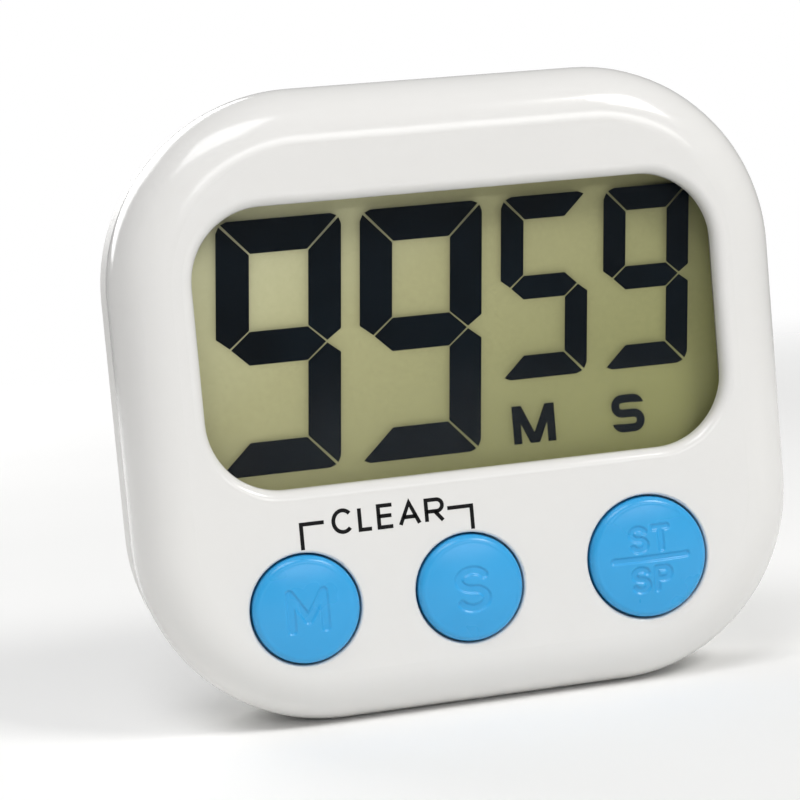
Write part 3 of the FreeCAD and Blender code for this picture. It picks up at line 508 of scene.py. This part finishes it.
def makePrint():
    m = printedMark
    mesh = bmesh.new()
    half = m["pen"] / 2
    gap = (m["highX"] - m["lowX"] - sum(w for letter, w in m["word"])) / (len(m["word"]) - 1)
    x, h = m["lowX"], m["highZ"] - m["lowZ"]
    for letter, width in m["word"]:
        for path in printPaths(letter, width - m["pen"], h - m["pen"]):
            addStroke(mesh, [(x + half + px, m["lowZ"] + half + pz) for px, pz in path], half)
        x += width + gap
    for path in m["brackets"]:
        addStroke(mesh, path, m["line"] / 2)
    bmesh.ops.recalc_face_normals(mesh, faces=mesh.faces)
    data = bpy.data.meshes.new("clear_print")
    mesh.to_mesh(data)
    mesh.free()
    return data


finishPiece("clear_print", makePrint(), inkPrinted, "case")
print("printed mark made")


screwShape = {
    "spots": [(-37.6, 50.0), (37.6, 50.0), (-35.0, 20.0), (35.0, 20.0)],
    "seatY": 8.3 * mm,          # underside of the head
    "headR": 1.95 * mm,
    "headThick": 1.3 * mm,
    "shankR": 1.0 * mm,
    "length": 9.5 * mm,
    "slotReach": 1.15 * mm,
    "slotHalf": 0.22 * mm,
    "slotDeep": 0.8 * mm,
}


# One pan head screw with a cross recess, axis along Y and its seat at the origin
def makeScrewMesh():
    s = screwShape
    profile = [(0.0, s["headThick"]), (0.9 * mm, s["headThick"] * 0.985), (1.35 * mm, s["headThick"] * 0.90),
               (1.7 * mm, s["headThick"] * 0.72), (s["headR"], s["headThick"] * 0.34), (s["headR"], 0.0),
               (s["shankR"], 0.0)]
    turns = 9
    for i in range(turns * 2):                   # thread ridges down the shank
        y = -0.9 * mm - i * (s["length"] - 2.2 * mm) / (turns * 2)
        profile.append((s["shankR"] if i % 2 else s["shankR"] * 0.80, y))
    profile += [(0.5 * mm, -s["length"]), (0.0, -s["length"])]
    mesh = bmesh.new()
    steps = 40
    rings = []
    for r, y in profile:
        if r == 0.0:
            rings.append([mesh.verts.new((0, y, 0))])
        else:
            rings.append([mesh.verts.new((r * math.cos(2 * math.pi * k / steps), y,
                                          r * math.sin(2 * math.pi * k / steps))) for k in range(steps)])
    for a, b in zip(rings, rings[1:]):
        for k in range(steps):
            n = (k + 1) % steps
            if len(a) == 1:
                mesh.faces.new((a[0], b[n], b[k]))
            elif len(b) == 1:
                mesh.faces.new((a[k], a[n], b[0]))
            else:
                mesh.faces.new((a[k], a[n], b[n], b[k]))
    bmesh.ops.recalc_face_normals(mesh, faces=mesh.faces)
    body = bpy.data.meshes.new("screwBody")
    mesh.to_mesh(body)
    mesh.free()
    return body


def makeCrossMesh():
    s = screwShape
    mesh = bmesh.new()
    r, h = s["slotReach"], s["slotHalf"]
    outline = [(-r, -h), (-h, -h), (-h, -r), (h, -r), (h, -h), (r, -h),
               (r, h), (h, h), (h, r), (-h, r), (-h, h), (-r, h)]
    top, low = s["headThick"] + 0.3 * mm, s["headThick"] - s["slotDeep"]
    upper = [mesh.verts.new((x, top, z)) for x, z in outline]
    lower = [mesh.verts.new((x * 0.72, low, z * 0.72)) for x, z in outline]
    mesh.faces.new(upper)
    mesh.faces.new(lower[::-1])
    for k in range(len(outline)):
        n = (k + 1) % len(outline)
        mesh.faces.new((upper[k], lower[k], lower[n], upper[n]))
    bmesh.ops.recalc_face_normals(mesh, faces=mesh.faces)
    data = bpy.data.meshes.new("screwCross")
    mesh.to_mesh(data)
    mesh.free()
    return data


def placeHolder(name, mesh):
    holder = bpy.data.objects.new(name, mesh)
    bpy.context.scene.collection.objects.link(holder)
    return holder


# Runs a tree on a holder, keeps the result as a plain mesh and removes the modifier with its holder
def bakeTree(holder, tree, values):
    modifier = holder.modifiers.new("shape", "NODES")
    modifier.node_group = tree
    sockets = {i.name: i.identifier for i in tree.interface.items_tree
               if i.item_type == "SOCKET" and i.in_out == "INPUT"}
    for name, value in values.items():
        modifier[sockets[name]] = value
    bpy.context.view_layer.update()
    graph = bpy.context.evaluated_depsgraph_get()
    mesh = bpy.data.meshes.new_from_object(holder.evaluated_get(graph))
    bpy.data.objects.remove(holder)
    return mesh


def newTree(name, sockets):
    tree = bpy.data.node_groups.new(name, "GeometryNodeTree")
    tree.interface.new_socket("Geometry", in_out="OUTPUT", socket_type="NodeSocketGeometry")
    tree.interface.new_socket("Geometry", in_out="INPUT", socket_type="NodeSocketGeometry")
    for label, kind in sockets:
        tree.interface.new_socket(label, in_out="INPUT", socket_type=kind)
    return tree, addNode(tree, "NodeGroupInput"), addNode(tree, "NodeGroupOutput")


# A screw on each point of the holder's mesh, each turned a little differently as drivers leave them
def makeScrewTree():
    tree, given, out = newTree("screwsOnPoints", [
        ("Screw", "NodeSocketObject"), ("Finish", "NodeSocketMaterial"), ("Turn Seed", "NodeSocketInt")])
    info = addNode(tree, "GeometryNodeObjectInfo", inputs={"Object": (given, "Screw"), "As Instance": True})
    turn = addNode(tree, "FunctionNodeRandomValue", {"data_type": "FLOAT"})
    turn.inputs[2].default_value = 0.0
    turn.inputs[3].default_value = math.pi / 2
    tree.links.new(given.outputs["Turn Seed"], turn.inputs["Seed"])
    spin = addNode(tree, "ShaderNodeCombineXYZ")
    tree.links.new(turn.outputs[1], spin.inputs["Y"])
    put = addNode(tree, "GeometryNodeInstanceOnPoints", inputs={
        "Points": (given, "Geometry"), "Instance": (info, "Geometry"), "Rotation": (spin, "Vector")})
    real = addNode(tree, "GeometryNodeRealizeInstances", inputs={"Geometry": (put, "Instances")})
    dressed = addNode(tree, "GeometryNodeSetMaterial", inputs={
        "Geometry": (real, "Geometry"), "Material": (given, "Finish")})
    tree.links.new(dressed.outputs["Geometry"], out.inputs["Geometry"])
    return tree


def makeScrews():
    s = screwShape
    body = placeHolder("screwBody", makeScrewMesh())
    cross = placeHolder("screwCross", makeCrossMesh())
    cut = body.modifiers.new("cross", "BOOLEAN")
    cut.operation, cut.object, cut.solver = "DIFFERENCE", cross, "EXACT"
    bpy.context.view_layer.update()
    single = bpy.data.meshes.new_from_object(body.evaluated_get(bpy.context.evaluated_depsgraph_get()))
    bpy.data.objects.remove(body)
    bpy.data.objects.remove(cross)
    source = placeHolder("screwSource", single)
    points = bpy.data.meshes.new("screwPoints")
    points.from_pydata([(x * mm, s["seatY"], z * mm) for x, z in s["spots"]], [], [])
    mesh = bakeTree(placeHolder("screwPoints", points), makeScrewTree(),
                    {"Screw": source, "Finish": steelZincPlated, "Turn Seed": 7})
    bpy.data.objects.remove(source)
    return mesh


finishPiece("case_screws_turned", makeScrews(), steelZincPlated, "case", ["case_screws"])
print("screws made")

springShape = {
    "lowX": -25.45 * mm, "highX": -22.55 * mm,
    "axisY": 4.0 * mm, "axisZ": 65.2 * mm,
    "wideR": 3.6 * mm, "narrowR": 1.8 * mm,
    "turns": 3.5, "wireR": 0.3 * mm,
}


# A cone coil: a spiral swept with a round section
def makeSpringTree():
    tree, given, out = newTree("coneCoil", [
        ("Turns", "NodeSocketFloat"), ("Wide", "NodeSocketFloat"), ("Narrow", "NodeSocketFloat"),
        ("Length", "NodeSocketFloat"), ("Wire", "NodeSocketFloat"), ("Finish", "NodeSocketMaterial")])
    spiral = addNode(tree, "GeometryNodeCurveSpiral", inputs={
        "Resolution": 36, "Rotations": (given, "Turns"), "Start Radius": (given, "Wide"),
        "End Radius": (given, "Narrow"), "Height": (given, "Length")})
    ring = addNode(tree, "GeometryNodeCurvePrimitiveCircle", inputs={
        "Resolution": 14, "Radius": (given, "Wire")})
    swept = addNode(tree, "GeometryNodeCurveToMesh", inputs={
        "Curve": (spiral, "Curve"), "Profile Curve": (ring, "Curve"), "Fill Caps": True})
    real = addNode(tree, "GeometryNodeRealizeInstances", inputs={"Geometry": (swept, "Mesh")})
    dressed = addNode(tree, "GeometryNodeSetMaterial", inputs={
        "Geometry": (real, "Geometry"), "Material": (given, "Finish")})
    tree.links.new(dressed.outputs["Geometry"], out.inputs["Geometry"])
    return tree


def makeSpring():
    s = springShape
    mesh = bakeTree(placeHolder("spring", bpy.data.meshes.new("spring")), makeSpringTree(), {
        "Turns": s["turns"], "Wide": s["wideR"], "Narrow": s["narrowR"],
        "Length": s["highX"] - s["lowX"], "Wire": s["wireR"], "Finish": nickelPlated})
    mesh.transform(Matrix.Translation((s["lowX"], s["axisY"], s["axisZ"]))
                   @ Matrix.Rotation(math.radians(90), 4, "Y"))
    for face in mesh.polygons:
        face.use_smooth = True
    return mesh


finishPiece("negative_spring_coiled", makeSpring(), nickelPlated, "case", ["negative_spring"])
print("spring made")


studio = {
    "floorR": 0.9,              # the floor fades out between fadeFrom and fadeTo
    "fadeFrom": 0.30, "fadeTo": 0.75,
    "cameraAt": (-60.66 * mm, -255.4 * mm, 61.35 * mm),
    "right": (0.9730, -0.2134, -0.0883),
    "up": (0.1047, 0.0668, 0.9923),
    "look": (0.2059, 0.9747, -0.0874),
    "lens": 93.5,
    "skyLight": 0.30,           # what the sky gives to surfaces
    "skySeen": 1.0,             # and how bright it looks as a backdrop
    "softboxes": {
        "keyRight": {"at": (0.42, -0.50, 0.62), "size": (0.26, 0.26), "power": 3.2, "tint": "#fffefc"},
        "topLeft": {"at": (-0.25, -0.35, 0.75), "size": (0.50, 0.30), "power": 2.6, "tint": "#fdfdff"},
        "backFill": {"at": (-0.30, 0.70, 0.40), "size": (0.60, 0.50), "power": 3.4, "tint": "#ffffff"},
        "frontBand": {"at": (0.24, -1.116, 0.375), "size": (0.90, 0.14), "power": 2.2, "tint": "#ffffff"},
    },
}


def makeFloor():
    mesh = bmesh.new()
    bmesh.ops.create_circle(mesh, cap_ends=True, segments=96, radius=studio["floorR"])
    data = bpy.data.meshes.new("floor")
    mesh.to_mesh(data)
    mesh.free()
    floor = bpy.data.objects.new("floor", data)
    bpy.context.scene.collection.objects.link(floor)
    material, tree, place, output = newMaterial("floorPale")
    cloud = addNode(tree, "ShaderNodeTexNoise", inputs={"Vector": (place, "Object"), "Scale": 6.0})
    ramp = setRamp(addNode(tree, "ShaderNodeValToRGB", inputs={"Fac": (cloud, "Fac")}),
                   [(0.3, colour("#f3f3f2")), (0.7, colour("#f6f6f5"))])
    skin = addNode(tree, "ShaderNodeBsdfPrincipled", inputs={
        "Base Color": (ramp, "Color"), "Roughness": 0.9, "Specular IOR Level": 0.1})
    far = addNode(tree, "ShaderNodeVectorMath", {"operation": "LENGTH"})
    tree.links.new(place.outputs["Object"], far.inputs[0])
    fade = addNode(tree, "ShaderNodeMapRange", {"interpolation_type": "SMOOTHSTEP"}, {
        "Value": (far, "Value"), "From Min": studio["fadeFrom"], "From Max": studio["fadeTo"]})
    gone = addNode(tree, "ShaderNodeBsdfTransparent")
    both = addNode(tree, "ShaderNodeMixShader")
    tree.links.new(fade.outputs["Result"], both.inputs[0])
    tree.links.new(skin.outputs["BSDF"], both.inputs[1])
    tree.links.new(gone.outputs["BSDF"], both.inputs[2])
    tree.links.new(both.outputs["Shader"], output.inputs["Surface"])
    data.materials.append(material)


def makeSky():
    world = bpy.data.worlds.new("studio")
    bpy.context.scene.world = world
    world.use_nodes = True
    tree = world.node_tree
    tree.nodes.clear()
    ray = addNode(tree, "ShaderNodeLightPath")
    strength = addNode(tree, "ShaderNodeMapRange", inputs={
        "Value": (ray, "Is Camera Ray"), "To Min": studio["skyLight"], "To Max": studio["skySeen"]})
    sky = addNode(tree, "ShaderNodeBackground", inputs={
        "Color": colour("#ffffff"), "Strength": (strength, "Result")})
    addNode(tree, "ShaderNodeOutputWorld", inputs={"Surface": (sky, "Background")})


def addSoftbox(name, box):
    lamp = bpy.data.lights.new(name, "AREA")
    lamp.shape = "RECTANGLE"
    lamp.size, lamp.size_y = box["size"]
    lamp.energy = box["power"]
    lamp.color = colour(box["tint"])[:3]
    holder = bpy.data.objects.new(name, lamp)
    bpy.context.scene.collection.objects.link(holder)
    holder.location = box["at"]
    aim = Vector((0, 0, caseSize["height"] / 2)) - Vector(box["at"])
    holder.rotation_euler = aim.to_track_quat("-Z", "Y").to_euler()


def makeStudio():
    makeFloor()
    makeSky()
    for name, box in studio["softboxes"].items():
        addSoftbox(name, box)
    camera = bpy.data.cameras.new("camera")
    camera.lens = studio["lens"]
    camera.sensor_width = 36.0
    camera.clip_start = 0.01
    holder = bpy.data.objects.new("camera", camera)
    bpy.context.scene.collection.objects.link(holder)
    turn = Matrix((studio["right"], studio["up"], -Vector(studio["look"]))).transposed().to_4x4()
    holder.matrix_world = Matrix.Translation(studio["cameraAt"]) @ turn
    bpy.context.scene.camera = holder
    bpy.context.scene.view_settings.view_transform = "Standard"


makeStudio()
print("studio made")
